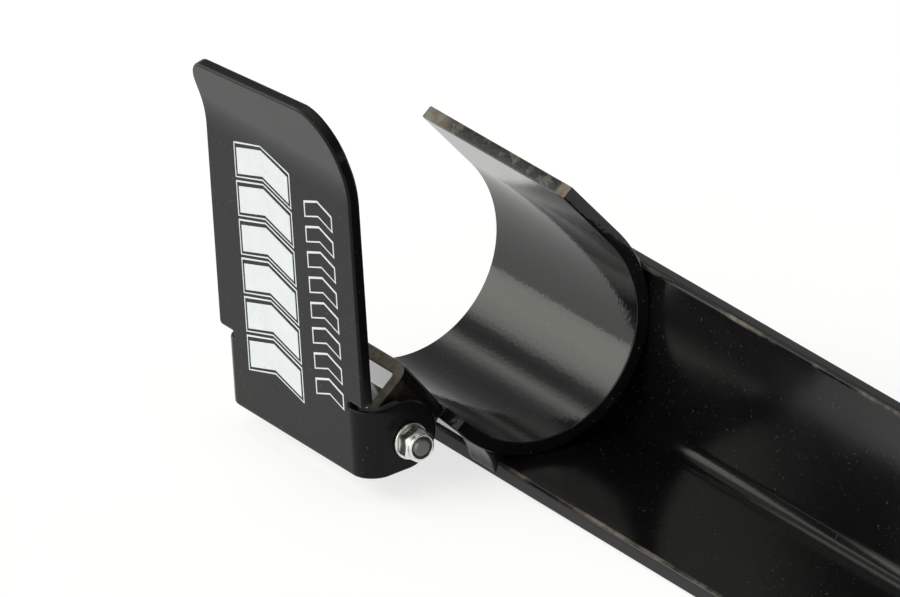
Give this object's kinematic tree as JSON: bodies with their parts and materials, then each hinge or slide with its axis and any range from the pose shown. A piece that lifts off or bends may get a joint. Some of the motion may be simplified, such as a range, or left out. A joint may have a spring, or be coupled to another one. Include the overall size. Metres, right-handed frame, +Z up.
{
  "type": "rod holder",
  "caption": "Ground-spike fishing rod holder: pointed steel angle with a welded U cradle closed by a hinged locking flap.",
  "frame": {"origin": "middle of the lower leg's outer face, below the middle of the cradle", "axes": "+Z up with the spike lying on its lower leg, +Y along the spike from the cradle to the point, +X across the lower leg from the heel towards the hinge"},
  "size_m": [0.1274, 0.9061, 0.1306],
  "materials": {
    "black_paint_spike": "gloss black powder coat",
    "black_paint_cradle": "gloss black powder coat, rubbed inside, bare ground edges",
    "black_paint_flap": "satin black powder coat",
    "black_paint_weld": "black powder coat over weld bead",
    "zinc_plate": "bright zinc plate",
    "nylon_insert": "dark nylon",
    "friction_washer": "black nylon"
  },
  "bodies": {
    "spike": {"angle_spike": "black_paint_spike", "rod_cradle": "black_paint_cradle", "butt_stop": "black_paint_spike", "spacer_sleeve": "zinc_plate", "friction_washer_near": "friction_washer", "friction_washer_far": "friction_washer", "weld_lower_near": "black_paint_weld", "weld_lower_middle": "black_paint_weld", "weld_lower_far": "black_paint_weld", "weld_upper_near": "black_paint_weld", "weld_upper_middle": "black_paint_weld", "weld_upper_far": "black_paint_weld", "weld_stop_lower": "black_paint_weld", "weld_stop_upper": "black_paint_weld"},
    "flap": {"flap_plate": "black_paint_flap", "pivot_bolt": "zinc_plate", "nut_body": "zinc_plate", "nut_nylon_ring": "nylon_insert", "nut_washer": "zinc_plate", "head_washer": "zinc_plate"}
  },
  "joints": [
    {"name": "flap_hinge", "type": "hinge", "parent": "spike", "child": "flap", "pos_m": [0.06312, 0, 0.01894], "axis": [0, 1, 0], "range_deg": [-50.9, 80]}
  ]
}
